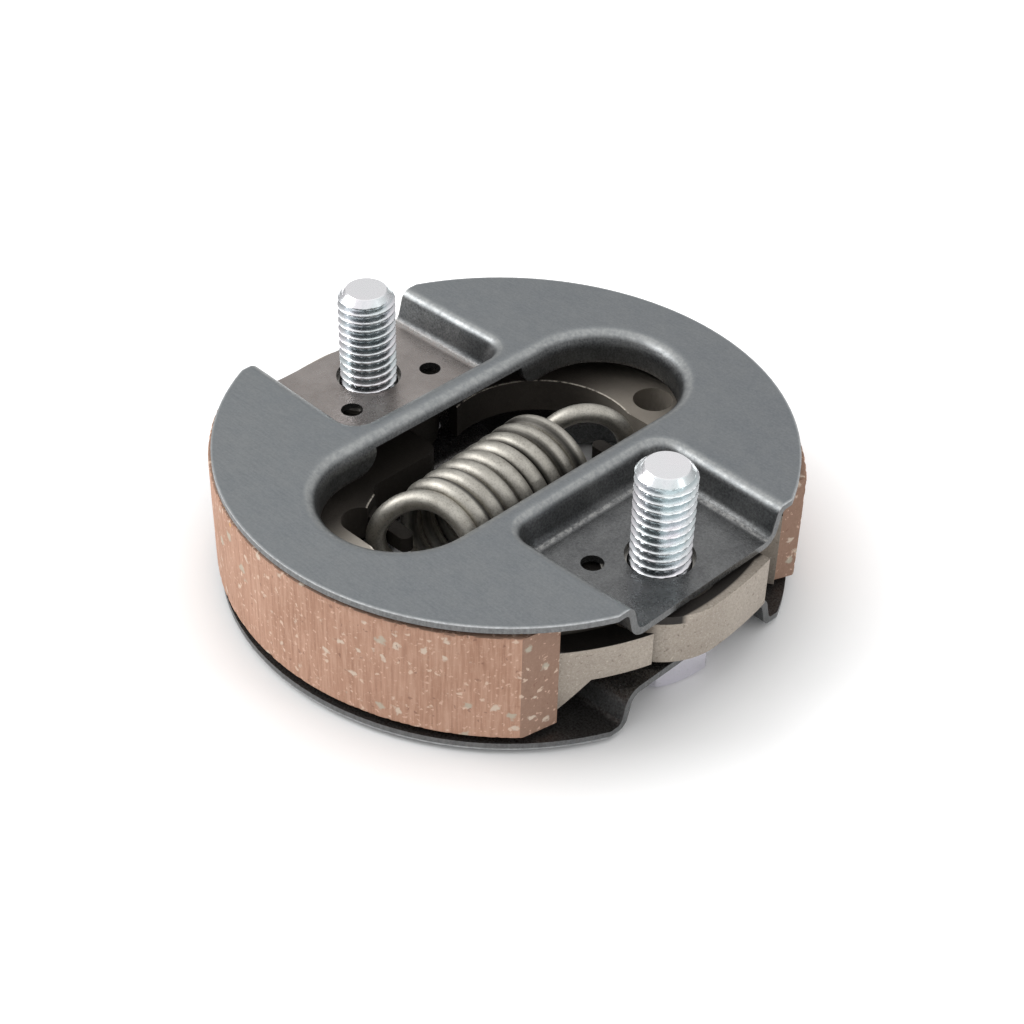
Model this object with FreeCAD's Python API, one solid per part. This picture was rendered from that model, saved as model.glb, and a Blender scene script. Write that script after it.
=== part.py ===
"""Centrifugal clutch: two swinging shoes between two pressed steel plates.

Millimetres. +Z runs up along the bolts' threads, X through both bolts, Y nearly along the return spring.
The origin is on the clutch's axis at the underside of the bolt heads.
The shoes repeat under a half turn about Z: side b swings about the bolt at +X, side a about the one at -X.
"""
import FreeCAD, Part
import math
import os

V = FreeCAD.Vector
Z_AXIS = V(0, 0, 1)

# Carrier plates
PLATE_RADIUS = 38.0
FLAT_CUT = 3.5
FLAT_CORNER_RADIUS = 1.0
SHEET = 1.0
POCKET_DEPTH = 4.5
POCKET_HALF_LENGTH = 13.3
POCKET_MOUTH_HALF_LENGTH = 12.8
POCKET_WALL_LEAN = 15.0
POCKET_PLAN_RADIUS = 3.0
POCKET_RIM_RADIUS = 0.8
POCKET_FLOOR_RADIUS = 1.5
RIDGE_FLAT = 0.2
SLOT_HALF_WIDTH = 10.3
SLOT_BEND_RADIUS = 1.3
LIP_DEPTH = 4.6
SHORT_LIP_DEPTH = 1.4
LIP_CORNER_RADIUS = 3.0
BOLT_HOLE_CLEARANCE = 0.5
TOOLING_HOLE_RADIUS = 1.5
TOOLING_HOLE_INWARD = 4.7
TOOLING_HOLE_SIDEWAYS = 7.2

# Bolts, pivot sleeves and washers
BOLT_INWARD = 11.0
SHANK_RADIUS = 4.0
SHANK_ABOVE_FLOOR = 0.5
THREAD_RELIEF = 0.16
HEAD_ACROSS_FLATS = 13.0
HEAD_HEIGHT = 5.3
HEAD_CHAMFER_ANGLE = 30.0
HEAD_CORNER_ANGLE_A = 47.0
HEAD_CORNER_ANGLE_B = 16.5
STUD_ABOVE_FLOOR = 13.9
TIP_CHAMFER = 1.1
SLEEVE_CLEARANCE = 0.1
SLEEVE_WALL = 1.4
WASHER_CLEARANCE = 0.1
WASHER_WIDTH = 1.8
WASHER_THICKNESS = 0.6
PIVOT_CLEARANCE = 0.05
SIDE_CLEARANCE = 0.1

# Shoe and lining, on the side that swings about the bolt at +X
LINING_CENTRE_X = 0.5
LINING_CENTRE_Y = -1.9
LINING_BEYOND_PLATE = 1.7
LINING_THICKNESS = 2.5
LINING_HEIGHT = 16.0
PLATE_TO_LINING_CLEARANCE = 0.85
LINING_PAST_PIVOT = 4.8
LINING_PIVOT_END_LEAN = 22.0
LINING_PAST_FAR_BOLT = 1.3
LINING_FREE_END_LEAN = 12.0
SEAT_STEP = 0.9
RIM_WALL = 2.4
RIM_PIVOT_ANGLE = 31.3
RIM_FREE_ANGLE = 145.2
STEP_ROUND = 1.2
SLOPE_BEFORE_END = 0.9
SLOPE_PAST_END = 4.45
WEB_SET_BACK = 1.15
BOSS_RADIUS = 9.7
BOSS_END_Y = 11.0
BOSS_FACE_RADIUS = 60.0
ARM_GAP = 1.7
ARM_INNER_Y = 6.3
WEB_HOLLOW_X = -3.2
WEB_HOLLOW_INWARD = 4.5
WEB_HOLLOW_RADIUS = 13.2
WEB_PIVOT_EDGE_Y = 2.0
WEB_CORNER_RADIUS = 2.0
WEB_HOLE_X = 1.5
WEB_HOLE_FROM_RIM = 4.6
WEB_HOLE_RADIUS = 2.8

# Return spring and the finger that each of its hooks holds
WIRE_RADIUS = 1.3
COIL_GAP = 0.055
COIL_RADIUS = 6.4
SPRING_ANGLE = 4.3
HOOK_RADIUS = 6.0
HOOK_CENTRE_X = 0.5
HOOK_FROM_RIM = 17.5
HOOK_TO_REAR_END = 4.9
HOOK_TO_FRONT_END = 1.5
REAR_HOOK_PLANE = 51.0
REAR_HOOK_TAIL = 108.0
FRONT_HOOK_PLANE = 44.0
FRONT_HOOK_TAIL = 60.0
FINGER_TIP_X = 1.0
FINGER_WIDTH = 2.1
FINGER_HEIGHT = 2.2
FINGER_ABOVE_WEB_BASE = 1.0
FINGER_CLEARANCE = 0.15
NOTCH_WIDTH = 5.2
NOTCH_CLEARANCE = 3.3
CHANNEL_CLEARANCE = 2.8
LIP_TO_RIM_CLEARANCE = 2.3

# What follows from them
CARRIER_HEIGHT = LINING_HEIGHT + 2 * (SHEET + PLATE_TO_LINING_CLEARANCE)
PLATE_BASE_Z = HEAD_HEIGHT - POCKET_DEPTH
PLATE_TOP_Z = PLATE_BASE_Z + CARRIER_HEIGHT
MID_Z = (PLATE_BASE_Z + PLATE_TOP_Z) / 2
FLOOR_TOP_Z = PLATE_TOP_Z - POCKET_DEPTH
SLEEVE_BASE_Z = PLATE_BASE_Z + POCKET_DEPTH + SHEET
SLEEVE_TOP_Z = FLOOR_TOP_Z - SHEET
BOLT_X = PLATE_RADIUS - BOLT_INWARD
THREAD_RADIUS = SHANK_RADIUS - THREAD_RELIEF
SLEEVE_BORE_RADIUS = SHANK_RADIUS + SLEEVE_CLEARANCE
SLEEVE_RADIUS = SLEEVE_BORE_RADIUS + SLEEVE_WALL
WASHER_BORE_RADIUS = SLEEVE_RADIUS + WASHER_CLEARANCE
BOSS_HEIGHT = SLEEVE_TOP_Z - SLEEVE_BASE_Z - 2 * (WASHER_THICKNESS + SIDE_CLEARANCE)
WEB_THICKNESS = BOSS_HEIGHT - 2 * WEB_SET_BACK
LINING_RADIUS = PLATE_RADIUS + LINING_BEYOND_PLATE
SEAT_RADIUS = LINING_RADIUS - LINING_THICKNESS
ARM_RADIUS = SEAT_RADIUS - SEAT_STEP
RIM_INNER_RADIUS = ARM_RADIUS - RIM_WALL
RIM_TOP_Y = LINING_CENTRE_Y + RIM_INNER_RADIUS
WEB_HOLE_Y = RIM_TOP_Y - WEB_HOLE_FROM_RIM
SLOT_END_Y = RIM_TOP_Y - LIP_TO_RIM_CLEARANCE - SHEET
POCKET_RIM_REACH = (POCKET_RIM_RADIUS + SHEET) * math.tan(math.radians((90 - POCKET_WALL_LEAN) / 2))
POCKET_WALL_REACH = POCKET_DEPTH / 2 * math.tan(math.radians(POCKET_WALL_LEAN))
POCKET_MIDDLE_Z = PLATE_TOP_Z - POCKET_DEPTH / 2
POCKET_INNER_X = SLOT_HALF_WIDTH + SLOT_BEND_RADIUS + SHEET + RIDGE_FLAT + POCKET_RIM_REACH + POCKET_WALL_REACH
CHANNEL_X = COIL_RADIUS + WIRE_RADIUS + CHANNEL_CLEARANCE
HOOK_CENTRE_Y = RIM_TOP_Y - HOOK_FROM_RIM
REAR_HOOK_END_X = HOOK_CENTRE_X + HOOK_RADIUS * math.cos(math.radians(REAR_HOOK_PLANE))
FRONT_HOOK_END_Y = HOOK_CENTRE_Y + HOOK_RADIUS * math.sin(math.radians(FRONT_HOOK_PLANE))
COIL_PITCH = 2 * WIRE_RADIUS + COIL_GAP
COIL_REAR_END = HOOK_CENTRE_Y - HOOK_TO_REAR_END
COIL_TURNS = math.floor((COIL_REAR_END + HOOK_CENTRE_Y - HOOK_TO_FRONT_END) / COIL_PITCH) + 0.5
FINGER_OUTER_Y = FRONT_HOOK_END_Y - WIRE_RADIUS - FINGER_CLEARANCE
FINGER_INNER_Y = FINGER_OUTER_Y - FINGER_WIDTH
NOTCH_CENTRE_X = REAR_HOOK_END_X + WIRE_RADIUS + NOTCH_CLEARANCE - NOTCH_WIDTH / 2
WEB_HOLLOW_Y = HOOK_CENTRE_Y - WEB_HOLLOW_INWARD
REACH = 2 * PLATE_RADIUS


def box(x0, x1, y0, y1, z0=-REACH, z1=REACH):
    return Part.makeBox(x1 - x0, y1 - y0, z1 - z0, V(x0, y0, z0))


def cylinder(x, y, radius, z0=-REACH, z1=REACH):
    return Part.makeCylinder(radius, z1 - z0, V(x, y, z0))


def ring(x, y, inner, outer, z0, z1):
    return cylinder(x, y, outer, z0, z1).cut(cylinder(x, y, inner, z0, z1))


def about_middle(height):
    return MID_Z - height / 2, MID_Z + height / 2


def half_turn(shape):
    turned = shape.copy()
    turned.rotate(V(0, 0, 0), Z_AXIS, 180)
    return turned


def turned_over(shape):
    return shape.mirror(V(0, 0, MID_Z), Z_AXIS)


def fillet(shape, radius, wanted):
    return shape.makeFillet(radius, [edge for edge in shape.Edges if wanted(edge)])


def is_level(edge, z):
    bounds = edge.BoundBox
    return abs(bounds.ZMin - z) < 1e-4 and abs(bounds.ZMax - z) < 1e-4


def is_upright(edge):
    bounds = edge.BoundBox
    return bounds.XLength < 1e-4 and bounds.YLength < 1e-4


def is_upright_at(edge, x, y):
    middle = edge.CenterOfMass
    return is_upright(edge) and math.hypot(middle.x - x, middle.y - y) < 1e-3


# Carrier plates

def plate_outline():
    flat_x = PLATE_RADIUS - FLAT_CUT
    outline = cylinder(0, 0, PLATE_RADIUS).common(box(-flat_x, flat_x, -REACH, REACH))
    return fillet(outline, FLAT_CORNER_RADIUS, is_upright)


def slot_prism(grown):
    half_width = SLOT_HALF_WIDTH + grown
    centre_y = SLOT_END_Y - SLOT_HALF_WIDTH
    prism = box(-half_width, half_width, -centre_y, centre_y)
    for side in (-1, 1):
        prism = prism.fuse(cylinder(0, side * centre_y, half_width))
    return prism.removeSplitter()


def behind_wall(x, y, heading, grown):
    """Everything behind a leaning pocket wall that passes through a point at the pocket's middle height."""
    space = box(-2 * REACH, -grown / math.cos(math.radians(POCKET_WALL_LEAN)), -2 * REACH, 2 * REACH)
    space.rotate(V(0, 0, 0), V(0, 1, 0), -POCKET_WALL_LEAN)
    space.rotate(V(0, 0, 0), Z_AXIS, heading)
    space.translate(V(x, y, POCKET_MIDDLE_Z))
    return space


def pocket_space(grown, floor_z):
    """Space of the +X pocket, which grows narrower towards the plate's flat."""
    length_x = PLATE_RADIUS - FLAT_CUT - POCKET_INNER_X
    taper = math.degrees(math.atan2(POCKET_HALF_LENGTH - POCKET_MOUTH_HALF_LENGTH, length_x))
    space = box(0, REACH + 1, -REACH, REACH, floor_z, PLATE_TOP_Z + SHEET)
    space = space.cut(behind_wall(POCKET_INNER_X, 0, 0, grown))
    for side in (-1, 1):
        space = space.cut(behind_wall(POCKET_INNER_X, side * POCKET_HALF_LENGTH, -side * (90 + taper), grown))
    return fillet(space, POCKET_PLAN_RADIUS + grown,
                  lambda edge: edge.BoundBox.ZLength > SHEET and edge.CenterOfMass.x < REACH)


def below_surface(depth):
    """Everything below the plate's upper face, or below its underside at a depth of one sheet."""
    top_z = PLATE_TOP_Z - depth
    floor_z = FLOOR_TOP_Z - depth
    solid = box(-REACH, REACH, -REACH, REACH, -REACH, top_z)
    solid = solid.cut(slot_prism(depth))
    pocket = pocket_space(depth, floor_z)
    solid = solid.cut(pocket).cut(half_turn(pocket))

    def is_inside(edge):
        middle = edge.CenterOfMass
        return max(abs(middle.x), abs(middle.y)) < REACH - 1

    def is_slot(edge):
        return abs(edge.CenterOfMass.x) < SLOT_HALF_WIDTH + SHEET + 0.1

    solid = fillet(solid, POCKET_FLOOR_RADIUS + depth,
                   lambda edge: is_level(edge, floor_z) and is_inside(edge))
    solid = fillet(solid, POCKET_RIM_RADIUS + SHEET - depth,
                   lambda edge: is_level(edge, top_z) and is_inside(edge) and not is_slot(edge))
    return fillet(solid, SLOT_BEND_RADIUS + SHEET - depth,
                  lambda edge: is_level(edge, top_z) and is_inside(edge) and is_slot(edge))


def lip_trim():
    """Space taken off the slot's lip: below its full depth, and nearly all of it beside the pockets."""
    lip_z = PLATE_TOP_Z - LIP_DEPTH
    deep = slot_prism(SHEET + SLOT_BEND_RADIUS).common(box(-REACH, REACH, -REACH, REACH, -REACH, lip_z))
    half_width = SLOT_HALF_WIDTH + SHEET + SLOT_BEND_RADIUS
    beside = box(-half_width, half_width, -POCKET_HALF_LENGTH, POCKET_HALF_LENGTH,
                 -REACH, PLATE_TOP_Z - SHORT_LIP_DEPTH)
    trim = deep.fuse(beside)
    corner_y = POCKET_HALF_LENGTH + LIP_CORNER_RADIUS
    corner_z = lip_z + LIP_CORNER_RADIUS
    rod = Part.makeCylinder(LIP_CORNER_RADIUS, 2 * half_width, V(-half_width, corner_y, corner_z), V(1, 0, 0))
    corner = box(-half_width, half_width, POCKET_HALF_LENGTH, corner_y, -REACH, corner_z).cut(rod)
    return trim.fuse([corner, half_turn(corner)])


def plate_holes():
    tooling_x = BOLT_X - TOOLING_HOLE_INWARD
    holes = []
    for side in (-1, 1):
        holes.append(cylinder(side * BOLT_X, 0, SHANK_RADIUS + BOLT_HOLE_CLEARANCE))
        for way in (-1, 1):
            holes.append(cylinder(side * tooling_x, way * TOOLING_HOLE_SIDEWAYS, TOOLING_HOLE_RADIUS))
    return holes


def upper_plate():
    plate = below_surface(0).cut(below_surface(SHEET))
    plate = plate.common(plate_outline())
    plate = plate.common(box(-REACH, REACH, -REACH, REACH, PLATE_TOP_Z - LIP_DEPTH - SHEET, PLATE_TOP_Z))
    return plate.cut(lip_trim()).cut(plate_holes())


# Bolts, sleeves and washers

def hex_head(x, corner_angle):
    corner_radius = HEAD_ACROSS_FLATS / 2 / math.cos(math.pi / 6)
    corners = []
    for step in range(7):
        angle = math.radians(corner_angle + 60 * step)
        corners.append(V(x + corner_radius * math.cos(angle), corner_radius * math.sin(angle), 0))
    head = Part.Face(Part.makePolygon(corners)).extrude(V(0, 0, HEAD_HEIGHT))
    rise = HEAD_HEIGHT
    spread = rise / math.tan(math.radians(HEAD_CHAMFER_ANGLE))
    face_radius = HEAD_ACROSS_FLATS / 2 * 0.96
    cone = Part.makeCone(face_radius, face_radius + spread, rise, V(x, 0, 0))
    return head.common(cone)


def bolt(x, corner_angle):
    thread_z = FLOOR_TOP_Z + SHANK_ABOVE_FLOOR
    chamfer_z = FLOOR_TOP_Z + STUD_ABOVE_FLOOR - TIP_CHAMFER
    shank = cylinder(x, 0, SHANK_RADIUS, HEAD_HEIGHT, thread_z)
    thread = cylinder(x, 0, THREAD_RADIUS, thread_z, chamfer_z)
    tip = Part.makeCone(THREAD_RADIUS, THREAD_RADIUS - TIP_CHAMFER, TIP_CHAMFER, V(x, 0, chamfer_z))
    return hex_head(x, corner_angle).fuse([shank, thread, tip]).removeSplitter()


def pivot_sleeve(x):
    return ring(x, 0, SLEEVE_BORE_RADIUS, SLEEVE_RADIUS, SLEEVE_BASE_Z, SLEEVE_TOP_Z)


def washer(x, base_z):
    return ring(x, 0, WASHER_BORE_RADIUS, WASHER_BORE_RADIUS + WASHER_WIDTH, base_z, base_z + WASHER_THICKNESS)


# Shoe and lining

def lining_centred(inner, outer, height):
    return ring(LINING_CENTRE_X, LINING_CENTRE_Y, inner, outer, *about_middle(height))


def sector(start, end):
    wedge = Part.makeCylinder(REACH, 2 * REACH, V(0, 0, -REACH), Z_AXIS, end - start)
    wedge.rotate(V(0, 0, 0), Z_AXIS, start)
    return wedge


def beyond_end(x, lean):
    """Everything on the -X side of the leaning upright plane that meets the lining's outer face at x."""
    y = LINING_CENTRE_Y + math.sqrt(LINING_RADIUS ** 2 - (x - LINING_CENTRE_X) ** 2)
    space = box(-2 * REACH, 0, -2 * REACH, 2 * REACH)
    space.rotate(V(0, 0, 0), Z_AXIS, -lean)
    space.translate(V(x, y, 0))
    return space


def web():
    """The shoe's flat web, from the pivot's side round to the arm that ends beside the other shoe's boss."""
    low_z, high_z = about_middle(WEB_THICKNESS)
    plate = cylinder(LINING_CENTRE_X, LINING_CENTRE_Y, ARM_RADIUS, low_z, high_z)
    plate = plate.cut(lining_centred(RIM_INNER_RADIUS, REACH, WEB_THICKNESS).common(sector(0, RIM_PIVOT_ANGLE)))
    plate = plate.cut(box(-REACH, CHANNEL_X, -REACH, ARM_INNER_Y))
    plate = plate.cut(box(CHANNEL_X, REACH, -REACH, WEB_PIVOT_EDGE_Y))
    plate = plate.cut(box(WEB_HOLLOW_X, CHANNEL_X, -REACH, FINGER_INNER_Y))
    plate = fillet(plate, WEB_CORNER_RADIUS,
                   lambda edge: is_upright_at(edge, CHANNEL_X, FINGER_INNER_Y)
                   or is_upright_at(edge, CHANNEL_X, WEB_PIVOT_EDGE_Y))
    plate = plate.cut(cylinder(WEB_HOLLOW_X, WEB_HOLLOW_Y, WEB_HOLLOW_RADIUS))
    plate = plate.cut(cylinder(-BOLT_X, 0, BOSS_RADIUS + ARM_GAP))
    return plate.cut(hook_notch())


def hook_notch():
    centre_y = FINGER_OUTER_Y + NOTCH_WIDTH / 2
    straight = box(WEB_HOLLOW_X, NOTCH_CENTRE_X, FINGER_OUTER_Y, FINGER_OUTER_Y + NOTCH_WIDTH)
    return straight.fuse(cylinder(NOTCH_CENTRE_X, centre_y, NOTCH_WIDTH / 2))


def finger():
    low_z = about_middle(WEB_THICKNESS)[0] + FINGER_ABOVE_WEB_BASE
    high_z = low_z + FINGER_HEIGHT
    tip_radius = FINGER_WIDTH / 2
    tip_x = FINGER_TIP_X + tip_radius
    bar = box(tip_x, CHANNEL_X + WEB_CORNER_RADIUS, FINGER_INNER_Y, FINGER_OUTER_Y, low_z, high_z)
    return bar.fuse(cylinder(tip_x, FINGER_INNER_Y + tip_radius, tip_radius, low_z, high_z))


def boss():
    """Thick pad round the pivot, which ends beside the rim; its round runs on into a nearly flat face."""
    low_z, high_z = about_middle(BOSS_HEIGHT)
    face_centre_x = BOLT_X + BOSS_RADIUS - BOSS_FACE_RADIUS
    pad = box(BOLT_X, REACH, 0, BOSS_END_Y, low_z, high_z)
    pad = pad.common(cylinder(face_centre_x, 0, BOSS_FACE_RADIUS, low_z, high_z))
    return pad.fuse(cylinder(BOLT_X, 0, BOSS_RADIUS, low_z, high_z))


def free_end_prism(corners):
    """Prism that runs outward at the rim's free end; each corner is given past that end and in height."""
    points = [V(0, past, z) for past, z in corners]
    prism = Part.Face(Part.makePolygon(points + points[:1])).extrude(V(REACH, 0, 0))
    prism.rotate(V(0, 0, 0), Z_AXIS, RIM_FREE_ANGLE)
    return prism


def slope_under_arm():
    rim_low_z = about_middle(LINING_HEIGHT)[0]
    arm_low_z = about_middle(WEB_THICKNESS)[0]
    prism = free_end_prism([(-SLOPE_BEFORE_END, rim_low_z), (SLOPE_PAST_END, arm_low_z),
                            (SLOPE_PAST_END, MID_Z), (-SLOPE_BEFORE_END, MID_Z)])
    return prism.common(lining_centred(RIM_INNER_RADIUS, ARM_RADIUS, LINING_HEIGHT))


def space_under_slope():
    rim_low_z = about_middle(LINING_HEIGHT)[0]
    arm_low_z = about_middle(WEB_THICKNESS)[0]
    return free_end_prism([(-SLOPE_BEFORE_END, rim_low_z), (SLOPE_PAST_END, arm_low_z),
                           (SLOPE_PAST_END, -REACH), (-SLOPE_BEFORE_END, -REACH)])


def step_round():
    """Rounded corner above the arm at the rim's free end."""
    arm_top_z = about_middle(WEB_THICKNESS)[1]
    block = free_end_prism([(0, MID_Z), (STEP_ROUND, MID_Z),
                            (STEP_ROUND, arm_top_z + STEP_ROUND), (0, arm_top_z + STEP_ROUND)])
    rod = Part.makeCylinder(STEP_ROUND, REACH, V(0, STEP_ROUND, arm_top_z + STEP_ROUND), V(1, 0, 0))
    rod.rotate(V(0, 0, 0), Z_AXIS, RIM_FREE_ANGLE)
    return block.cut(rod).common(lining_centred(RIM_INNER_RADIUS, ARM_RADIUS, LINING_HEIGHT))


def rim():
    band = lining_centred(RIM_INNER_RADIUS, SEAT_RADIUS, LINING_HEIGHT)
    return band.common(sector(RIM_PIVOT_ANGLE, RIM_FREE_ANGLE)).cut(space_under_slope())


def shoe():
    body = web().fuse([boss(), rim(), slope_under_arm(), step_round(), finger()]).removeSplitter()
    body = body.cut(cylinder(BOLT_X, 0, SLEEVE_RADIUS + PIVOT_CLEARANCE))
    return body.cut(cylinder(WEB_HOLE_X, WEB_HOLE_Y, WEB_HOLE_RADIUS))


def lining():
    pad = lining_centred(SEAT_RADIUS, LINING_RADIUS, LINING_HEIGHT)
    pad = pad.common(box(-REACH, REACH, 0, REACH))
    pad = pad.common(beyond_end(BOLT_X + LINING_PAST_PIVOT, LINING_PIVOT_END_LEAN))
    return pad.cut(beyond_end(-BOLT_X - LINING_PAST_FAR_BOLT, LINING_FREE_END_LEAN))


# Return spring

def coil_point(angle):
    """Point on the coil; the angle rises from 180 degrees where the rear hook leaves it."""
    along = COIL_REAR_END - COIL_PITCH * (angle - 180) / 360
    across = COIL_RADIUS * math.cos(math.radians(angle))
    tilt = math.radians(SPRING_ANGLE)
    x = across * math.cos(tilt) - along * math.sin(tilt)
    y = across * math.sin(tilt) + along * math.cos(tilt)
    return V(x, y, MID_Z + COIL_RADIUS * math.sin(math.radians(angle)))


def hook_point(side, plane, angle):
    """Point on the upright ring of the hook on the +Y or -Y side, turned by the plane's angle from X."""
    across = HOOK_RADIUS * math.cos(math.radians(angle))
    x = side * HOOK_CENTRE_X + across * math.cos(math.radians(plane))
    y = side * HOOK_CENTRE_Y + across * math.sin(math.radians(plane))
    return V(x, y, MID_Z + HOOK_RADIUS * math.sin(math.radians(angle)))


def eased(share):
    share = min(max(share, 0), 1)
    return share * share * (3 - 2 * share)


def wire_point(angle, front_end):
    """Point on the wire, which passes from the rear hook over into the coil and on into the front hook."""
    coil = coil_point(angle)
    rear = hook_point(1, REAR_HOOK_PLANE, angle) - coil
    front = hook_point(-1, FRONT_HOOK_PLANE, angle - front_end) - coil
    return coil + rear * eased((270 - angle) / 135) + front * eased((angle - front_end - 30) / 150)


def spring_path():
    front_end = 180 + 360 * COIL_TURNS
    first = -REAR_HOOK_TAIL
    last = front_end + 180 + FRONT_HOOK_TAIL
    steps = round(16 * (last - first) / 360)
    points = [wire_point(first + (last - first) * step / steps, front_end) for step in range(steps + 1)]
    curve = Part.BSplineCurve()
    curve.interpolate(points)
    return curve


def return_spring():
    curve = spring_path()
    start = curve.value(curve.FirstParameter)
    heading = curve.tangent(curve.FirstParameter)[0]
    profile = Part.Wire(Part.makeCircle(WIRE_RADIUS, start, heading))
    return Part.Wire(curve.toShape()).makePipeShell([profile], True, True)


def main():
    top_plate = upper_plate()
    shoe_b = shoe()
    lining_b = lining()
    sides = {"a": -BOLT_X, "b": BOLT_X}
    corner_angles = {"a": HEAD_CORNER_ANGLE_A, "b": HEAD_CORNER_ANGLE_B}
    nodes = {
        "upper_plate": top_plate,
        "lower_plate": turned_over(top_plate),
        "shoe_a": half_turn(shoe_b),
        "shoe_b": shoe_b,
        "lining_a": half_turn(lining_b),
        "lining_b": lining_b,
        "return_spring": return_spring(),
    }
    for side, x in sides.items():
        nodes["bolt_" + side] = bolt(x, corner_angles[side])
        nodes["pivot_sleeve_" + side] = pivot_sleeve(x)
        nodes["lower_washer_" + side] = washer(x, SLEEVE_BASE_Z)
        nodes["upper_washer_" + side] = washer(x, SLEEVE_TOP_Z - WASHER_THICKNESS)
    os.makedirs("parts", exist_ok=True)
    for name, shape in nodes.items():
        shape.exportStep("parts/" + name + ".step")


if __name__ == "__main__":
    main()
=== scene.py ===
import math

import bpy
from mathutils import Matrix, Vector, noise


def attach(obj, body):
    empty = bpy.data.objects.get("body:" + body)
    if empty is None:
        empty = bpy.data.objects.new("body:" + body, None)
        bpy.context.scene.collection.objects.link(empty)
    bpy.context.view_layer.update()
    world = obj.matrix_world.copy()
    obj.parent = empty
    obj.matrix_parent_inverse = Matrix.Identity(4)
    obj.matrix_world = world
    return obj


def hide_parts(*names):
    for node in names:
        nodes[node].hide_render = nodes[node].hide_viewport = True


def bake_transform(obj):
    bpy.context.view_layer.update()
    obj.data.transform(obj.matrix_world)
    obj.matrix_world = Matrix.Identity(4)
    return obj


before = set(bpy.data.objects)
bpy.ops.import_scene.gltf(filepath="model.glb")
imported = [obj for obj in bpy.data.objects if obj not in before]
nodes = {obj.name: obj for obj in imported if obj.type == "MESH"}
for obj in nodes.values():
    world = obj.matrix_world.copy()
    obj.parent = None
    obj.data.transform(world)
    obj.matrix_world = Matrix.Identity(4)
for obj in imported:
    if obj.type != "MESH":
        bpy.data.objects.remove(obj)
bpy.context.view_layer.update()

MM = 0.001

# The camera stands where the photo was taken from; place in millimetres, turns in degrees
CAMERA_PLACE = (143.612, -146.062, 169.399)
CAMERA_TURNS = (51.632, -1.0742, 45.1003)
CAMERA_LENS = 68.72

# Sizes of the CAD model that the pieces here are fitted to, in millimetres and degrees
MID_Z = 10.65
PLATE_TOP_Z = 20.5
FLOOR_TOP_Z = 16.0
PLATE_RADIUS = 38.0
FLAT_X = 34.5
BOLT_X = 27.0
HEAD_HEIGHT = 5.3
HEAD_ACROSS_FLATS = 13.0
SHANK_RADIUS = 4.0
STUD_TOP_Z = 29.9
LINING_CENTRE = (0.5, -1.9)
SEAT_RADIUS = 37.2
LINING_RADIUS = 39.7
LINING_LOW_Z = 2.65
LINING_HIGH_Z = 18.65
WEB_TOP_Z = 13.15
WEB_HOLLOW = (-3.2, 10.0)
WEB_HOLLOW_RADIUS = 13.2
WIRE_RADIUS = 1.3
COIL_RADIUS = 6.4
COIL_PITCH = 2.655
COIL_TURNS = 8.5
COIL_REAR_END = 9.6
SPRING_ANGLE = 4.3
HOOK_CENTRE = (0.5, 14.5)
HOOK_RADIUS = 6.0

# Shapes that only this script draws, in millimetres and degrees
THREAD_RADIUS = 3.92
THREAD_PITCH = 1.25
THREAD_DEPTH = 0.72
THREAD_LOW_Z = FLOOR_TOP_Z - 2.2
THREAD_RUN_OUT = 1.2
TIP_RADIUS = THREAD_RADIUS - 1.1
SMALL_BEVEL = 0.12
HEAD_CORNER_A = 47.0
HEAD_CORNER_B = 16.5
HEAD_FACE_SHARE = 0.96
COIL_LAST_ANGLE = 180 + 360 * COIL_TURNS
WIRE_FIRST_ANGLE = -108
WIRE_LAST_ANGLE = COIL_LAST_ANGLE + 240
REAR_LEAVE_ANGLE = 270
REAR_LEAVE_RUN = 135
FRONT_LEAVE_ANGLE = COIL_LAST_ANGLE + 30
FRONT_LEAVE_RUN = 150
REAR_HOOK_PLANE = 51
FRONT_HOOK_PLANE = 44
LINING_EDGE = 0.25
LINING_START_X = BOLT_X + 4.8
LINING_START_LEAN = 22
LINING_FINISH_X = -BOLT_X - 1.3
LINING_FINISH_LEAN = 12
GRINDING_DEPTH = 0.03
MARK_DEPTH = 0.025
CHIP_DEPTH = 0.5
CHIP_REACH = 0.8

# How finely the drawn pieces are divided
BOLT_SIDES = 96
THREAD_STEPS_A_PITCH = 18
WIRE_SIDES = 20
WIRE_STEP = 6
LINING_STEPS = 260


# Camera, floor and light

def link(thing):
    """Puts an object in the scene."""
    bpy.context.scene.collection.objects.link(thing)
    return thing


def add_camera():
    """Stands at the photo's viewing angle."""
    data = bpy.data.cameras.new("camera")
    data.lens = CAMERA_LENS
    data.sensor_width = 36.0
    data.clip_start = 0.01
    data.clip_end = 20.0
    camera = link(bpy.data.objects.new("camera", data))
    camera.location = Vector(CAMERA_PLACE) * MM
    camera.rotation_euler = [math.radians(angle) for angle in CAMERA_TURNS]
    bpy.context.scene.camera = camera


def add_area(name, place, aim, size, power):
    """A white soft lamp, in metres and watts, turned towards the point aim."""
    data = bpy.data.lights.new(name, "AREA")
    data.shape = "RECTANGLE"
    data.size, data.size_y = size
    data.energy = power
    lamp = link(bpy.data.objects.new(name, data))
    lamp.location = place
    lamp.rotation_euler = (Vector(aim) - Vector(place)).to_track_quat("-Z", "Y").to_euler()


# Material building

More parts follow.
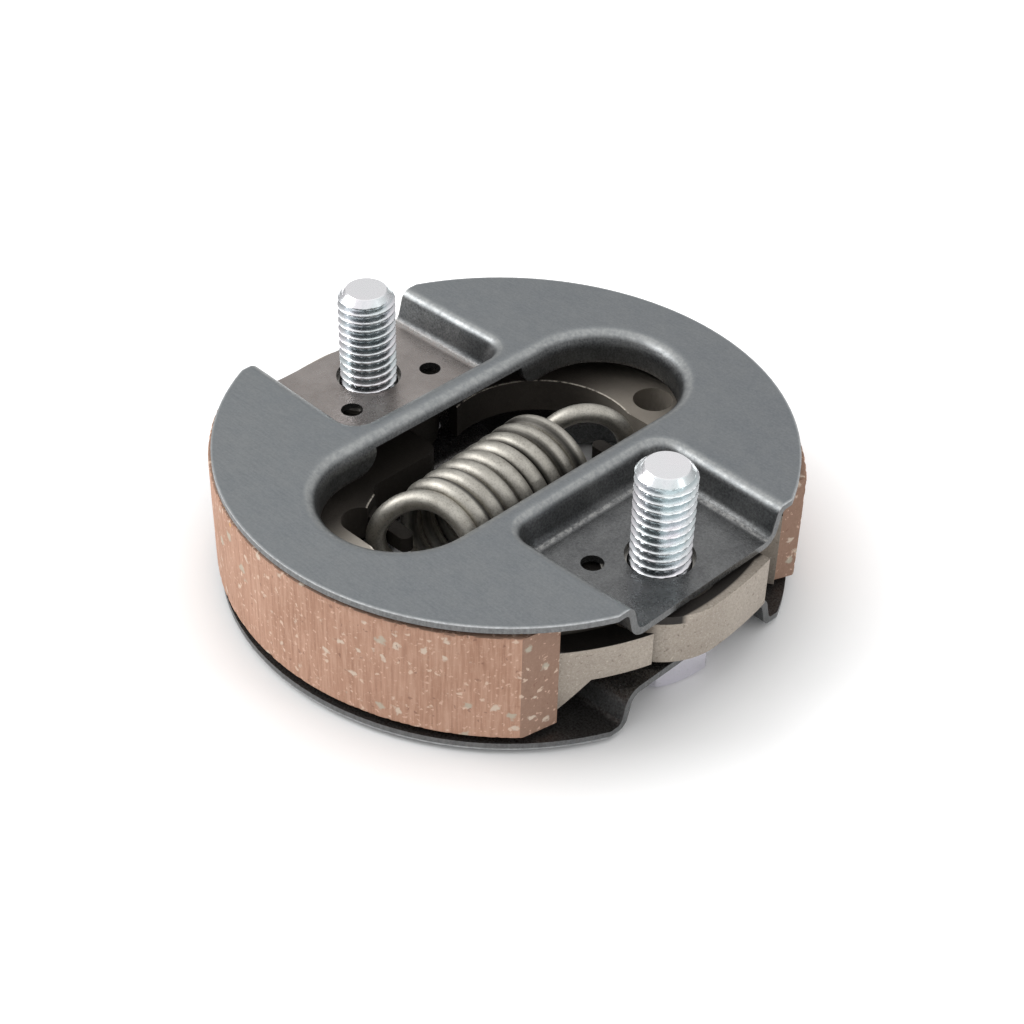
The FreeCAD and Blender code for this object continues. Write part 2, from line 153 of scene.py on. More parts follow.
class Paint:
    """One procedural material; each method adds nodes and returns a socket."""

    def __init__(self, name, metallic=0.0, roughness=0.5):
        self.material = bpy.data.materials.new(name)
        self.material.use_nodes = True
        self.tree = self.material.node_tree
        self.shader = self.tree.nodes["Principled BSDF"]
        self.shader.inputs["Metallic"].default_value = metallic
        self.shader.inputs["Roughness"].default_value = roughness

    def node(self, kind, values=None, out=0, **settings):
        """Adds one shader node with its settings and inputs; gives its output number out."""
        made = self.tree.nodes.new("ShaderNode" + kind)
        for key, value in settings.items():
            setattr(made, key, value)
        for key, value in (values or {}).items():
            self.put(made.inputs[key], value)
        return made.outputs[out]

    def put(self, socket, value):
        """Links a socket, or sets a plain colour or number."""
        if isinstance(value, bpy.types.NodeSocket):
            self.tree.links.new(value, socket)
        elif isinstance(value, tuple) and socket.type == "RGBA":
            socket.default_value = (*value, 1)
        else:
            socket.default_value = value

    def at(self):
        """Place on the piece, in metres."""
        return self.node("TexCoord", out="Object")

    def upward(self):
        """1 where the face looks up, -1 where it looks down, 0 on upright walls."""
        return self.parts(self.node("TexCoord", out="Normal"))[2]

    def parts(self, vector):
        made = self.tree.nodes.new("ShaderNodeSeparateXYZ")
        self.put(made.inputs[0], vector)
        return made.outputs[0], made.outputs[1], made.outputs[2]

    def maths(self, operation, a, b=0.0):
        return self.node("Math", {0: a, 1: b}, operation=operation)

    def times(self, *factors):
        product = factors[0]
        for factor in factors[1:]:
            product = self.maths("MULTIPLY", product, factor)
        return product

    def length(self, dx, dy):
        """Root of the sum of the squares."""
        return self.maths("SQRT", self.maths("ADD", self.times(dx, dx), self.times(dy, dy)))

    def scaled(self, vector, factors):
        return self.node("VectorMath", {0: vector, 1: factors}, operation="MULTIPLY")

    def shifted(self, vector, by):
        """Adds two vectors."""
        return self.node("VectorMath", {0: vector, 1: by}, operation="ADD")

    def noise(self, vector, size_mm, detail=3.0, roughness=0.5):
        return self.node("TexNoise", {"Vector": vector, "Scale": 1 / (size_mm * MM),
                                      "Detail": detail, "Roughness": roughness})

    def spots(self, vector, size_mm):
        """Distance to the nearest of many scattered points."""
        return self.node("TexVoronoi", {"Vector": vector, "Scale": 1 / (size_mm * MM)})

    def step(self, value, low, high, to_low=0.0, to_high=1.0):
        """Runs from to_low to to_high while value runs from low to high, and stays level outside."""
        return self.node("MapRange", {0: value, 1: low, 2: high, 3: to_low, 4: to_high})

    def mix(self, factor, a, b):
        """Colour a where factor is 0, colour b where it is 1."""
        return self.node("Mix", {0: factor, 6: a, 7: b}, out=2, data_type="RGBA")

    def bump(self, height, depth_mm, strength=1.0, under=None):
        values = {"Height": height, "Distance": depth_mm * MM, "Strength": strength}
        if under is not None:
            values["Normal"] = under
        return self.node("Bump", values)

    def set(self, **values):
        """Feeds the shader's inputs and gives the finished material."""
        for key, value in values.items():
            self.put(self.shader.inputs[key.replace("_", " ")], value)
        return self.material


def away_from_axis(paint, at, centre=(0.0, 0.0)):
    """Distance from an upright axis."""
    x, y, _ = paint.parts(at)
    dx = paint.maths("SUBTRACT", x, centre[0] * MM)
    dy = paint.maths("SUBTRACT", y, centre[1] * MM)
    return paint.length(dx, dy)


def plate_steel():
    """Dark phosphated sheet with a painted light gradient, bends and cut edges lighter from wear and painted
    highlight, painted shade on the steep walls and inner side, brown in one pocket, black in the other.
    """
    paint = Paint("plate_steel", 0.85, 0.42)
    at = paint.at()
    x, y, z = paint.parts(at)
    over_middle = paint.maths("SUBTRACT", z, MID_Z * MM)
    height = paint.maths("ABSOLUTE", over_middle)
    upward = paint.upward()
    slope = paint.maths("ABSOLUTE", upward)
    outward = paint.times(upward, paint.maths("SIGN", over_middle))
    face = PLATE_TOP_Z - MID_Z
    pocket = FLOOR_TOP_Z - MID_Z

    # The flat faces, with a painted light gradient, lighter towards the -x -y side where the key lamp stands,
    # and rolling marks
    cloud = paint.step(paint.noise(at, 16, 5, 0.6), 0.3, 0.7)
    painted_light_drift = paint.step(paint.maths("ADD", x, y), -46 * MM, 52 * MM, 0.15, 0.85)
    blot = paint.step(paint.noise(at, 3.5, 4, 0.65), 0.35, 0.7)
    grain = paint.noise(at, 0.30, 3, 0.7)
    rolled = paint.noise(paint.scaled(at, (1.0, 9.0, 1.0)), 2.6, 4, 0.7)
    colour = paint.mix(painted_light_drift, (0.248, 0.268, 0.282), (0.190, 0.205, 0.222))
    colour = paint.mix(paint.times(cloud, 0.35), colour, (0.270, 0.280, 0.282))
    colour = paint.mix(paint.step(rolled, 0.35, 0.68, 0.0, 0.42), colour, (0.150, 0.165, 0.180))
    colour = paint.mix(paint.times(blot, 0.25), colour, (0.300, 0.308, 0.305))

    # Pocket floors
    low = paint.step(height, (pocket + 0.55) * MM, (pocket + 0.15) * MM)
    rear = paint.step(paint.noise(at, 5, 4, 0.65), 0.25, 0.75)
    brown = paint.mix(rear, (0.262, 0.227, 0.210), (0.410, 0.368, 0.348))
    black = paint.mix(blot, (0.100, 0.101, 0.104), (0.165, 0.167, 0.168))
    floor = paint.mix(paint.step(x, -2 * MM, 2 * MM), brown, black)
    colour = paint.mix(low, colour, floor)

    # Steep walls, painted dark as shade
    below_face = paint.step(height, (face - 0.30) * MM, (face - 0.95) * MM)
    wall = paint.times(below_face, paint.step(slope, 0.96, 0.75))
    painted_wall_shade = paint.mix(blot, (0.040, 0.041, 0.042), (0.085, 0.085, 0.083))
    colour = paint.mix(paint.times(wall, 0.9), colour, painted_wall_shade)

    # Upper bends lighter, partly wear and partly painted highlight, and a broken painted highlight line along
    # the bottom of the walls
    speck = paint.step(paint.noise(at, 0.7, 4, 0.75), 0.40, 0.62)
    bend = paint.times(paint.step(slope, 0.998, 0.94), paint.step(slope, 0.50, 0.78))
    high = paint.step(height, (face - 0.95) * MM, (face - 0.45) * MM)
    bend_wear_and_highlight = paint.times(bend, high, paint.step(speck, 0, 1, 0.35, 0.9))
    colour = paint.mix(bend_wear_and_highlight, colour, (0.450, 0.460, 0.455))
    foot_highlight = paint.times(paint.step(height, (pocket + 0.37) * MM, (pocket + 0.20) * MM),
                       paint.step(slope, 0.99, 0.96), paint.step(slope, 0.80, 0.88))
    broken = paint.step(paint.noise(at, 0.9, 4, 0.75), 0.44, 0.60)
    colour = paint.mix(paint.times(foot_highlight, broken), colour, (0.330, 0.328, 0.318))

    # Sheared outer edge, with a bright line along its upper edge, partly bare burred metal and partly painted
    # highlight
    rim = paint.step(away_from_axis(paint, at), (PLATE_RADIUS - 0.30) * MM, (PLATE_RADIUS - 0.05) * MM)
    flat = paint.step(paint.maths("ABSOLUTE", x), (FLAT_X - 0.28) * MM, (FLAT_X - 0.03) * MM)
    edge = paint.maths("MAXIMUM", rim, flat)
    cut = paint.times(edge, paint.step(slope, 0.6, 0.3))
    sheared = paint.mix(paint.noise(paint.scaled(at, (1.0, 1.0, 0.15)), 0.5, 3, 0.7),
                        (0.050, 0.050, 0.052), (0.210, 0.215, 0.215))
    colour = paint.mix(cut, colour, sheared)
    burr_and_highlight = paint.times(edge, paint.step(height, (face - 0.27) * MM, (face - 0.13) * MM))
    colour = paint.mix(paint.times(burr_and_highlight, paint.step(speck, 0, 1, 0.55, 0.95)), colour,
                       (0.560, 0.580, 0.590))

    # Inner side painted nearly black as shade between the plates, then a fine pale grain over everything
    painted_inner_shade = paint.step(outward, -0.15, -0.5)
    colour = paint.mix(painted_inner_shade, colour, (0.040, 0.035, 0.032))
    pale = paint.step(grain, 0.35, 0.7)
    colour = paint.mix(paint.times(pale, 0.30), colour, (0.360, 0.370, 0.375))

    gloss = paint.step(paint.noise(at, 1.1, 5, 0.7), 0.3, 0.7, 0.34, 0.50)
    gloss = paint.maths("SUBTRACT", gloss, paint.times(low, 0.14))
    bump = paint.bump(rolled, 0.012, 0.6)
    bump = paint.bump(grain, 0.012, 0.8, bump)
    return paint.set(Base_Color=colour, Roughness=gloss, Normal=bump)


def sintered():
    """Grey-brown pressed metal with fine pores, painted light and shade inside the rim, painted shade where
    the plates and rim cover it, and a bright line along the hollow edge of the web, partly burred metal and
    partly painted highlight.
    """
    paint = Paint("sintered", 0.55, 0.55)
    at = paint.at()
    x, y, z = paint.parts(at)
    out = away_from_axis(paint, at)
    cloud = paint.step(paint.noise(at, 7, 3, 0.6), 0.3, 0.7)
    grain = paint.noise(at, 0.28, 3, 0.7)
    pores = paint.step(paint.noise(at, 0.5, 3, 0.65), 0.60, 0.72)
    shiny = paint.step(paint.noise(at, 0.33, 2, 0.6), 0.60, 0.72)
    colour = paint.mix(cloud, (0.395, 0.345, 0.294), (0.500, 0.445, 0.384))
    colour = paint.mix(paint.step(grain, 0.35, 0.65, 0.0, 0.45), colour, (0.300, 0.256, 0.211))
    colour = paint.mix(paint.times(pores, 0.6), colour, (0.110, 0.085, 0.065))
    colour = paint.mix(paint.times(shiny, 0.5), colour, (0.700, 0.640, 0.560))

    # Inside the rim: painted shade, with a painted lit patch near the slot's front end and near-black painted
    # shadow towards the other end
    painted_shade_inside = paint.mix(cloud, (0.085, 0.070, 0.056), (0.190, 0.162, 0.134))
    painted_lit_inside = paint.mix(grain, (0.400, 0.356, 0.300), (0.780, 0.730, 0.650))
    painted_lit_patch = paint.times(paint.step(x, -9 * MM, -4 * MM), paint.step(y, 20 * MM, -20 * MM, 0.35, 1.0))
    painted_shadow_mask = paint.times(paint.step(x, -1 * MM, -9 * MM), 0.8)
    inside = paint.mix(painted_shadow_mask, paint.mix(painted_lit_patch, painted_shade_inside, painted_lit_inside), (0.012, 0.011, 0.010))
    colour = paint.mix(paint.step(out, 33.5 * MM, 31.0 * MM, 0.0, 0.9), colour, inside)
    # Painted shade nearer the axis, deep between the plates
    colour = paint.mix(paint.step(out, 23.0 * MM, 18.5 * MM), colour, (0.038, 0.033, 0.028))

    # Painted shade on what the plates and the rim cover
    behind = paint.times(paint.step(out, 31.2 * MM, 31.8 * MM), paint.step(out, 35.9 * MM, 35.6 * MM),
                         paint.step(z, (WEB_TOP_Z - 0.10) * MM, (WEB_TOP_Z - 0.02) * MM))
    within = paint.step(paint.maths("ABSOLUTE", x), (FLAT_X + 0.2) * MM, (FLAT_X - 0.2) * MM)
    covered = paint.times(paint.step(z, 14.1 * MM, 14.2 * MM), within)
    colour = paint.mix(paint.maths("MAXIMUM", behind, covered), colour, (0.030, 0.026, 0.023))

    # Bright line along the hollow edge of each web, partly burred metal and partly painted highlight
    burr_highlight_lines = []
    for side in (1, -1):
        away = away_from_axis(paint, at, (side * WEB_HOLLOW[0], side * WEB_HOLLOW[1]))
        near = paint.maths("ABSOLUTE", paint.maths("SUBTRACT", away, WEB_HOLLOW_RADIUS * MM))
        burr_highlight_lines.append(paint.step(near, 0.28 * MM, 0.08 * MM))
    top = paint.step(z, (WEB_TOP_Z - 0.12) * MM, (WEB_TOP_Z - 0.02) * MM)
    burr_and_highlight = paint.times(paint.maths("MAXIMUM", *burr_highlight_lines), top)
    broken = paint.step(paint.noise(at, 1.2, 3, 0.6), 0.35, 0.55)
    colour = paint.mix(paint.times(burr_and_highlight, broken), colour, (0.950, 0.880, 0.770))

    gloss = paint.step(grain, 0.3, 0.7, 0.42, 0.66)
    bump = paint.bump(paint.noise(at, 1.6, 3, 0.6), 0.05, 0.5)
    bump = paint.bump(grain, 0.035, 0.9, bump)
    return paint.set(Base_Color=colour, Roughness=gloss, Normal=bump)


def lining_stone():
    """Pinkish tan friction lining with upright grinding marks, duller where it isn't ground."""
    paint = Paint("lining", 0.0, 0.82)
    at = paint.at()
    cloud = paint.step(paint.noise(at, 9, 4, 0.6), 0.3, 0.7)
    grain = paint.noise(at, 0.4, 3, 0.7)
    streak = paint.noise(paint.scaled(at, (1.0, 1.0, 0.06)), 0.38, 3, 0.65)
    colour = paint.mix(cloud, (0.440, 0.240, 0.158), (0.550, 0.318, 0.222))
    colour = paint.mix(paint.step(streak, 0.46, 0.66, 0.0, 0.55), colour, (0.660, 0.420, 0.310))
    colour = paint.mix(paint.step(streak, 0.46, 0.30, 0.0, 0.50), colour, (0.330, 0.165, 0.108))
    colour = paint.mix(paint.step(grain, 0.55, 0.75, 0.0, 0.4), colour, (0.700, 0.500, 0.390))

    # Darker on every face but the ground outer face
    ends = paint.node("Attribute", out=2, attribute_name="end_face")
    off_ground_tone = paint.mix(grain, (0.235, 0.140, 0.100), (0.390, 0.252, 0.185))
    colour = paint.mix(paint.times(ends, 0.85), colour, off_ground_tone)

    # Flecks, each kind by its spacing in mm, where it starts and is full, its tint and how well it covers
    curl = paint.node("TexNoise", {"Vector": at, "Scale": 1100.0, "Detail": 3.0}, out=1)
    bent = paint.shifted(at, paint.scaled(curl, (0.0015, 0.0015, 0.0015)))
    for size, low, high, tint, strength in (
            (2.9, 0.20, 0.12, (0.760, 0.640, 0.520), 0.80),
            (1.9, 0.18, 0.10, (0.800, 0.620, 0.490), 0.75),
            (0.9, 0.24, 0.14, (0.800, 0.560, 0.430), 0.60),
            (4.6, 0.17, 0.11, (0.540, 0.510, 0.410), 0.75),
            (6.5, 0.06, 0.04, (0.780, 0.470, 0.120), 0.80),
            (1.7, 0.14, 0.08, (0.200, 0.090, 0.060), 0.50)):
        spots = paint.spots(paint.shifted(bent, (size, 2 * size, 3 * size)), size)
        colour = paint.mix(paint.step(spots, low, high, 0.0, strength), colour, tint)

    bump = paint.bump(streak, 0.04, 0.7)
    bump = paint.bump(grain, 0.03, 0.7, bump)
    return paint.set(Base_Color=colour, Normal=bump)


def zinc():
    """Bright zinc plate with a faint pink and green play of colour, painted shade in the roots of the thread
    and a painted highlight on the flat tip.
    """
    paint = Paint("zinc", 1.0, 0.2)
    at = paint.at()
    x, y, z = paint.parts(at)
    hue = paint.step(paint.noise(at, 4.5, 2, 0.5), 0.35, 0.65)
    colour = paint.mix(hue, (0.800, 0.860, 0.875), (0.900, 0.870, 0.910))
    dull = paint.noise(at, 0.5, 4, 0.6)
    colour = paint.mix(paint.step(dull, 0.5, 0.75, 0.0, 0.4), colour, (0.620, 0.670, 0.700))

    # Painted shade in the roots of the thread
    beside = paint.maths("SUBTRACT", paint.maths("ABSOLUTE", x), BOLT_X * MM)
    away = paint.length(beside, y)
    root = paint.times(paint.step(away, 3.86 * MM, 3.45 * MM), paint.step(z, 28.75 * MM, 28.55 * MM),
                       paint.step(z, THREAD_LOW_Z * MM, (THREAD_LOW_Z + 1.0) * MM))
    colour = paint.mix(paint.times(root, 0.50), colour, (0.200, 0.270, 0.290))
    # Painted highlight on the flat end of the tip
    tip = paint.step(z, (STUD_TOP_Z - 0.10) * MM, (STUD_TOP_Z - 0.02) * MM, 0.0, 0.8)
    colour = paint.mix(tip, colour, (0.980, 0.970, 0.990))
    head = paint.step(z, (HEAD_HEIGHT + 0.2) * MM, (HEAD_HEIGHT + 0.1) * MM)
    colour = paint.mix(head, colour, paint.mix(dull, (0.820, 0.800, 0.880), (0.760, 0.750, 0.800)))
    gloss = paint.step(dull, 0.3, 0.7, 0.16, 0.30)
    bump = paint.bump(dull, 0.008, 0.6)
    return paint.set(Base_Color=colour, Roughness=gloss, Normal=bump)


def spring_steel():
    """Oiled spring wire: warm grey, with fine lengthwise grain, dark oil in patches, and painted shade where
    each coil lies against the next.
    """
    paint = Paint("spring_steel", 0.95, 0.34)
    at = paint.at()
    grain = paint.noise(at, 0.22, 3, 0.7)
    patch = paint.step(paint.noise(at, 2.2, 4, 0.65), 0.35, 0.65)
    colour = paint.mix(patch, (0.400, 0.380, 0.338), (0.580, 0.558, 0.504))
    colour = paint.mix(paint.step(grain, 0.4, 0.7, 0.0, 0.5), colour, (0.560, 0.535, 0.480))
    colour = paint.mix(paint.step(grain, 0.5, 0.3, 0.0, 0.5), colour, (0.150, 0.135, 0.115))
    # Painted shade on the wire where it faces the next coil
    beside = paint.node("Attribute", out=2, attribute_name="beside_next_coil")
    colour = paint.mix(paint.step(beside, 0.84, 0.99, 0.0, 0.9), colour, (0.022, 0.020, 0.018))
    gloss = paint.step(grain, 0.3, 0.7, 0.38, 0.56)
    bump = paint.bump(grain, 0.030, 0.9)
    return paint.set(Base_Color=colour, Roughness=gloss, Normal=bump)


def bare_steel():
    """Plain turned or pressed steel with a little brown oil."""
    paint = Paint("bare_steel", 1.0, 0.35)
    at = paint.at()
    patch = paint.step(paint.noise(at, 2.5, 4, 0.65), 0.35, 0.65)
    colour = paint.mix(patch, (0.300, 0.280, 0.250), (0.450, 0.440, 0.420))
    gloss = paint.step(paint.noise(at, 0.6, 4, 0.6), 0.3, 0.7, 0.25, 0.45)
    bump = paint.bump(paint.noise(at, 0.3, 3, 0.6), 0.010, 0.6)
    return paint.set(Base_Color=colour, Roughness=gloss, Normal=bump)


def floor_paint():
    """White paper that takes the object's shadow; well clear of the object it glows, for the eye only."""
    paint = Paint("floor", 0.0, 0.9)
    path = paint.tree.nodes.new("ShaderNodeLightPath")
    seen = paint.maths("MAXIMUM", path.outputs["Is Camera Ray"], path.outputs["Is Glossy Ray"])
    clear = paint.step(away_from_axis(paint, paint.at()), 36 * MM, 62 * MM)
    glow = paint.node("Emission", {"Strength": paint.times(seen, clear, 0.55)})
    both = paint.node("AddShader", {0: paint.shader.outputs[0], 1: glow})
    paint.put(paint.tree.nodes["Material Output"].inputs["Surface"], both)
    return paint.set(Base_Color=(0.88, 0.88, 0.88))


def add_floor():
    """A wide flat sheet under the bolts' heads."""
    size = 4.0
    corners = [(-size, -size, 0), (size, -size, 0), (size, size, 0), (-size, size, 0)]
    mesh = bpy.data.meshes.new("floor")
    mesh.from_pydata(corners, [], [(0, 1, 2, 3)])
    mesh.materials.append(floor_paint())
    link(bpy.data.objects.new("floor", mesh))


def add_light():
    """White surroundings, brightest overhead and plain white to the camera, and two soft lamps."""
    world = bpy.data.worlds.new("world")
    bpy.context.scene.world = world
    world.use_nodes = True
    tree = world.node_tree
    background = tree.nodes["Background"]
    coordinate = tree.nodes.new("ShaderNodeTexCoord")
    split = tree.nodes.new("ShaderNodeSeparateXYZ")
    ramp = tree.nodes.new("ShaderNodeMapRange")
    path = tree.nodes.new("ShaderNodeLightPath")
    strength = tree.nodes.new("ShaderNodeMix")
    for name, value in (("From Min", 0.0), ("From Max", 0.8), ("To Min", 0.28), ("To Max", 0.95)):
        ramp.inputs[name].default_value = value
    strength.inputs[3].default_value = 1.0
    background.inputs["Color"].default_value = (1, 1, 1, 1)
    for source, target in ((coordinate.outputs["Generated"], split.inputs[0]),
                           (split.outputs[2], ramp.inputs[0]),
                           (ramp.outputs[0], strength.inputs[2]),
                           (path.outputs["Is Camera Ray"], strength.inputs[0]),
                           (strength.outputs[0], background.inputs["Strength"])):
        tree.links.new(source, target)
    add_area("key", (-0.36, -0.30, 0.34), (0, 0, 0.01), (0.30, 0.30), 1.5)
    add_area("side", (0.42, 0.12, 0.22), (0, 0, 0.02), (0.10, 0.40), 0.22)


# Meshes

def new_piece(name, points, faces, material, body, replaced, crease):
    """One smooth piece that stands for a CAD node; edges sharper than crease degrees stay sharp."""
    mesh = bpy.data.meshes.new(name)
    mesh.from_pydata([Vector(point) * MM for point in points], [], faces)
    mesh.materials.append(material)
    mesh.shade_smooth()
    mesh.set_sharp_from_angle(angle=math.radians(crease))
    piece = link(bpy.data.objects.new(name, mesh))
    if body:
        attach(piece, body)
    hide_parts(replaced)
    return piece


def lathe(rings):
    """Joins rings of equally many points; a single point closes an end."""
    points = []
    faces = []
    last = None
    for ring in rings:
        start = len(points)
        points.extend(ring)
        now = list(range(start, start + len(ring)))
        if last is not None:
            count = max(len(now), len(last))
            for i in range(count):
                j = (i + 1) % count
                if len(last) == 1:
                    faces.append((last[0], now[j], now[i]))
                elif len(now) == 1:
                    faces.append((last[i], last[j], now[0]))
                else:
                    faces.append((last[i], last[j], now[j], now[i]))
        last = now
    return points, faces


def ring_points(x, z, radius_at):
    """A level ring about an upright axis at x; radius_at gives its radius at each turn."""
    ring = []
    for i in range(BOLT_SIDES):
        turn = 2 * math.pi * i / BOLT_SIDES
        radius = radius_at(turn)
        ring.append((x + radius * math.cos(turn), radius * math.sin(turn), z))
    return ring


def head_rings(x, corner_angle):
    """The hex head from its underside to the shank, with the 30 degree chamfer on the lower corners."""
    across = HEAD_ACROSS_FLATS / 2
    face_radius = across * HEAD_FACE_SHARE
    slope = math.tan(math.radians(30))

    def hexagon(turn):
        within = (turn - math.radians(corner_angle)) % (math.pi / 3) - math.pi / 6
        return across / math.cos(within)

    rings = [[(x, 0, 0)], ring_points(x, 0, lambda turn: face_radius * 0.5),
             ring_points(x, 0, lambda turn: face_radius)]
    low = []
    for px, py, _ in ring_points(x, 0, hexagon):
        turn = math.atan2(py, px - x)
        low.append((px, py, max(0.0, (hexagon(turn) - face_radius) * slope)))
    rings.append(low)
    top = HEAD_HEIGHT - SMALL_BEVEL
    for share in (0.5, 1.0):
        rings.append([(px, py, pz + (top - pz) * share) for px, py, pz in low])
    rings.append(ring_points(x, HEAD_HEIGHT, lambda turn: hexagon(turn) - SMALL_BEVEL))
    return rings


def thread_radius(z, turn):
    """Radius of the thread at a height and turn, limited by the chamfer of the tip."""
    phase = (z / THREAD_PITCH - turn / (2 * math.pi)) % 1.0
    flank = min(abs(phase - 0.5) * 2, 1.0)
    cut = min(max((flank - 0.13) / 0.66, 0.0), 1.0)
    cut = 0.35 * cut * cut * (3 - 2 * cut) + 0.65 * cut
    start = min((z - THREAD_LOW_Z) / THREAD_RUN_OUT, 1.0)
    return min(THREAD_RADIUS - THREAD_DEPTH * cut * start, TIP_RADIUS + STUD_TOP_Z - z)


def add_bolt(side, x, corner_angle, material):
    """Hex head, plain shank, rolled thread and chamfered tip."""
    rings = head_rings(x, corner_angle)
    for z in (HEAD_HEIGHT, THREAD_LOW_Z):
        rings.append(ring_points(x, z, lambda turn: SHANK_RADIUS))
    run = STUD_TOP_Z - SMALL_BEVEL - THREAD_LOW_Z
    steps = round(run / THREAD_PITCH * THREAD_STEPS_A_PITCH)
    for step in range(1, steps + 1):
        z = THREAD_LOW_Z + run * step / steps
        rings.append(ring_points(x, z, lambda turn: thread_radius(z, turn)))
    rings.append(ring_points(x, STUD_TOP_Z, lambda turn: TIP_RADIUS - 0.05))
    rings.append(ring_points(x, STUD_TOP_Z, lambda turn: TIP_RADIUS * 0.5))
    rings.append([(x, 0, STUD_TOP_Z)])
    points, faces = lathe(rings)
    new_piece("bolt_threaded_" + side, points, faces, material, "carrier", "bolt_" + side, 24)


def coil_point(angle):
    """Middle of the wire in the coil; the angle runs on from turn to turn, towards the front."""
    along = COIL_REAR_END - COIL_PITCH * (angle - 180) / 360
    across = COIL_RADIUS * math.cos(math.radians(angle))
    tilt = math.radians(SPRING_ANGLE)
    return Vector((across * math.cos(tilt) - along * math.sin(tilt),
                   across * math.sin(tilt) + along * math.cos(tilt),
                   MID_Z + COIL_RADIUS * math.sin(math.radians(angle))))


def hook_point(side, plane, angle):
    """Middle of the wire in a hook, whose ring stands upright in the plane at this angle."""
    across = HOOK_RADIUS * math.cos(math.radians(angle))
    return Vector((side * HOOK_CENTRE[0] + across * math.cos(math.radians(plane)),
                   side * HOOK_CENTRE[1] + across * math.sin(math.radians(plane)),
                   MID_Z + HOOK_RADIUS * math.sin(math.radians(angle))))


def eased(share):
    """Runs softly from 0 to 1."""
    share = min(max(share, 0), 1)
    return share * share * (3 - 2 * share)


def wire_point(angle):
    """Middle of the wire anywhere; at each end it passes softly from the coil into the hook."""
    coil = coil_point(angle)
    rear = hook_point(1, REAR_HOOK_PLANE, angle) - coil
    front = hook_point(-1, FRONT_HOOK_PLANE, angle - COIL_LAST_ANGLE) - coil
    to_rear = eased((REAR_LEAVE_ANGLE - angle) / REAR_LEAVE_RUN)
    to_front = eased((angle - FRONT_LEAVE_ANGLE) / FRONT_LEAVE_RUN)
    return coil + rear * to_rear + front * to_front


def wire_ring(angle):
    """Points round the wire, each with how far it faces the next coil."""
    in_coil = REAR_LEAVE_ANGLE - 40 < angle < FRONT_LEAVE_ANGLE - 80
    centre = wire_point(angle)
    heading = (wire_point(angle + 0.5) - wire_point(angle - 0.5)).normalized()
    inward = Vector((0, 0, MID_Z)) - centre
    inward = (inward - heading * inward.dot(heading)).normalized()
    other = heading.cross(inward)
    wire = []
    beside = []
    for i in range(WIRE_SIDES):
        turn = 2 * math.pi * i / WIRE_SIDES
        wire.append(centre + (inward * math.cos(turn) + other * math.sin(turn)) * WIRE_RADIUS)
        beside.append(abs(math.sin(turn)) if in_coil else 0.0)
    return wire, beside


def add_spring_half(name, start, end, material):
    """One half of the spring, which stretches from the middle towards the shoe its hook holds."""
    steps = round((end - start) / WIRE_STEP)
    rings = [[wire_point(start)]]
    beside = [0.0]
    for step in range(steps + 1):
        wire, facing = wire_ring(start + (end - start) * step / steps)
        rings.append(wire)
        beside.extend(facing)
    rings.append([wire_point(end)])
    points, faces = lathe(rings)
    piece = new_piece(name, points, faces, material, None, "return_spring", 60)
    mask = piece.data.attributes.new("beside_next_coil", "FLOAT", "POINT")
    mask.data.foreach_set("value", beside + [0.0])
    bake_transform(piece)


def add_spring(material):
    """Two halves that meet in the middle of the coil."""
    middle = 180 + 360 * COIL_REAR_END / COIL_PITCH
    add_spring_half("return_spring_rear", WIRE_FIRST_ANGLE, middle, material)
    add_spring_half("return_spring_front", middle, WIRE_LAST_ANGLE, material)


def lining_end(radius, x, lean):
    """Angle about the lining's centre where its leaning end plane meets this radius."""
    cx, cy = LINING_CENTRE
    y = cy + math.sqrt(LINING_RADIUS ** 2 - (x - cx) ** 2)
    dx, dy = -math.sin(math.radians(lean)), -math.cos(math.radians(lean))
    low, high = 0.0, 8.0
    for _ in range(40):
        middle = (low + high) / 2
        if math.hypot(x + dx * middle - cx, y + dy * middle - cy) > radius:
            low = middle
        else:
            high = middle
    return math.atan2(y + dy * low - cy, x + dx * low - cx)


def lining_section():
    """Radius and height of points round the pad's section, finely spaced on the ground face."""
    soft = LINING_EDGE
    low, high = LINING_LOW_Z, LINING_HIGH_Z
    thick = LINING_RADIUS - SEAT_RADIUS - soft
    ground = [(LINING_RADIUS, low + soft + (high - low - 2 * soft) * i / 52) for i in range(53)]
    above = [(LINING_RADIUS - soft - thick * i / 5, high) for i in range(6)]
    seat = [(SEAT_RADIUS, high - (high - low) * i / 12) for i in range(1, 12)]
    below = [(LINING_RADIUS - soft - thick * (5 - i) / 5, low) for i in range(6)]
    upper_bevel = [(LINING_RADIUS - soft * 0.3, high - soft * 0.3)]
    lower_bevel = [(LINING_RADIUS - soft * 0.3, low + soft * 0.3)]
    return (ground + upper_bevel + above + seat + below + lower_bevel)[::-1]


def ground_away(spot, angle, share, turned):
    """How deep the grinding and the chips go at a place on the outer face."""
    wave = noise.noise(spot * 0.35 + Vector((7 * turned, 0, 0)))
    marks = noise.noise(Vector((angle * 180, spot.z * 0.10, 3.0 + turned)))
    rough = noise.noise(spot * 1.7 + Vector((0, 0, 9 * turned)))
    nearest = min(spot.z - LINING_LOW_Z, LINING_HIGH_Z - spot.z, 40 * min(share, 1 - share))
    chips = max(0.0, rough - 0.15) * CHIP_DEPTH * max(0.0, 1 - nearest / CHIP_REACH)
    return max(GRINDING_DEPTH * (1 + wave) + MARK_DEPTH * marks + chips, 0.0)


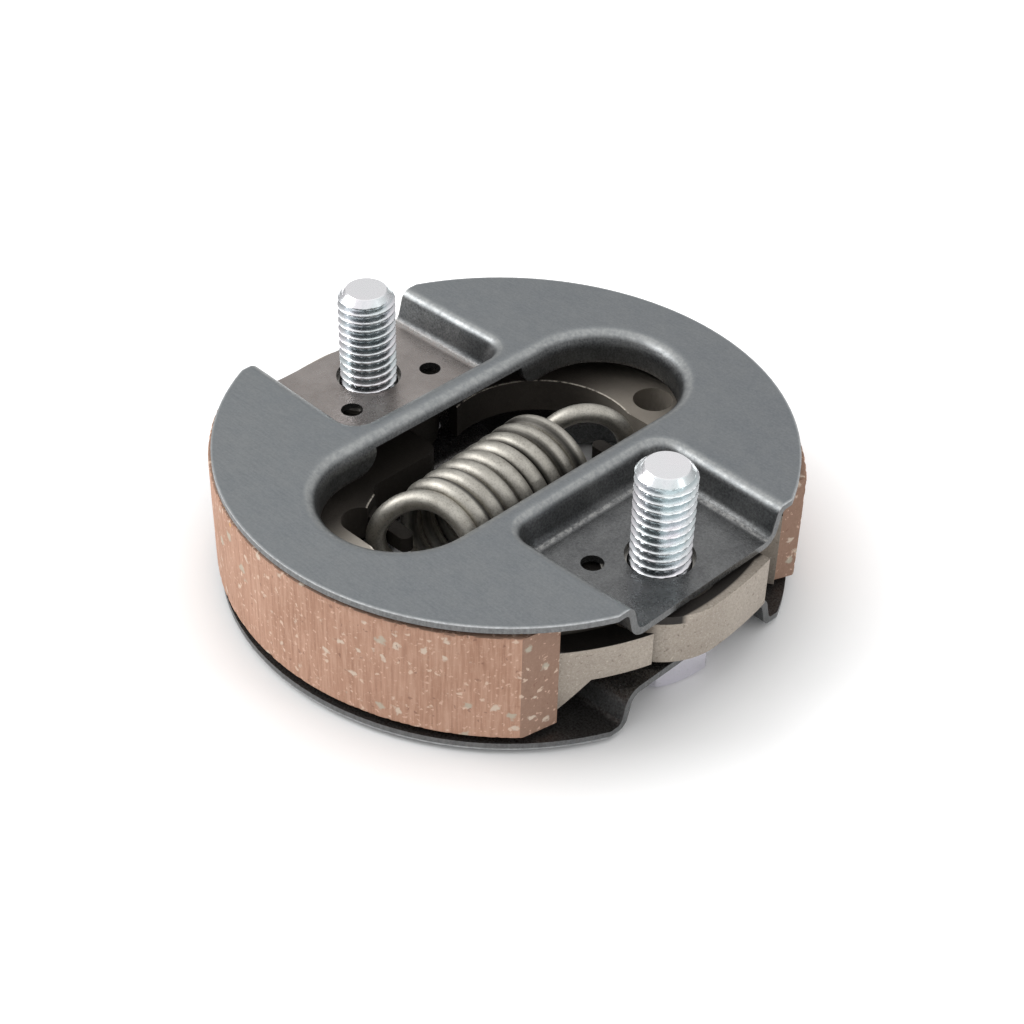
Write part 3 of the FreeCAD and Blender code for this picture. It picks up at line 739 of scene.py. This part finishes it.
def mark_ends(piece, centre):
    """Sets end_face to 0 on the ground outer face and to 1 elsewhere; the two ends are single faces."""
    mask = piece.data.attributes.new("end_face", "FLOAT", "CORNER")
    for polygon in piece.data.polygons:
        out = polygon.center.xy / MM - centre
        ground = polygon.loop_total == 4 and polygon.normal.xy.dot(out.normalized()) > 0.7
        for loop in polygon.loop_indices:
            mask.data[loop].value = 0.0 if ground else 1.0


def add_lining(side, turned, material):
    """Curved pad with softened edges, slight grinding waviness and small chips along its edges."""
    centre = Vector(LINING_CENTRE)
    section = lining_section()
    ends = []
    for radius, z in section:
        ends.append((lining_end(radius, LINING_START_X, LINING_START_LEAN),
                     lining_end(radius, LINING_FINISH_X, LINING_FINISH_LEAN)))
    rings = []
    for step in range(LINING_STEPS + 1):
        share = step / LINING_STEPS
        ring = []
        for (radius, z), (begin, finish) in zip(section, ends):
            angle = begin + (finish - begin) * share
            if radius > LINING_RADIUS - 0.2:
                spot = Vector((radius * math.cos(angle), radius * math.sin(angle), z))
                radius -= ground_away(spot, angle, share, turned)
            ring.append((centre.x + radius * math.cos(angle), centre.y + radius * math.sin(angle), z))
        rings.append(ring)
    points, faces = lathe(rings)
    count = len(section)
    faces.append(tuple(reversed(range(count))))
    faces.append(tuple(range(len(points) - count, len(points))))
    if turned:
        points = [(-px, -py, pz) for px, py, pz in points]
        centre = -centre
    piece = new_piece("lining_ground_" + side, points, faces, material, "shoe_" + side,
                      "lining_" + side, 35)
    mark_ends(piece, centre)


def dress(material, *names):
    """Gives CAD nodes a material."""
    for name in names:
        mesh = nodes[name].data
        mesh.materials.clear()
        mesh.materials.append(material)


bpy.context.scene.view_settings.view_transform = "Standard"
add_camera()
add_floor()
add_light()
dress(plate_steel(), "upper_plate", "lower_plate")
dress(sintered(), "shoe_a", "shoe_b")
dress(bare_steel(), "pivot_sleeve_a", "pivot_sleeve_b", "lower_washer_a", "lower_washer_b",
      "upper_washer_a", "upper_washer_b")
stone = lining_stone()
add_lining("b", False, stone)
add_lining("a", True, stone)
bright = zinc()
add_bolt("a", -BOLT_X, HEAD_CORNER_A, bright)
add_bolt("b", BOLT_X, HEAD_CORNER_B, bright)
add_spring(spring_steel())
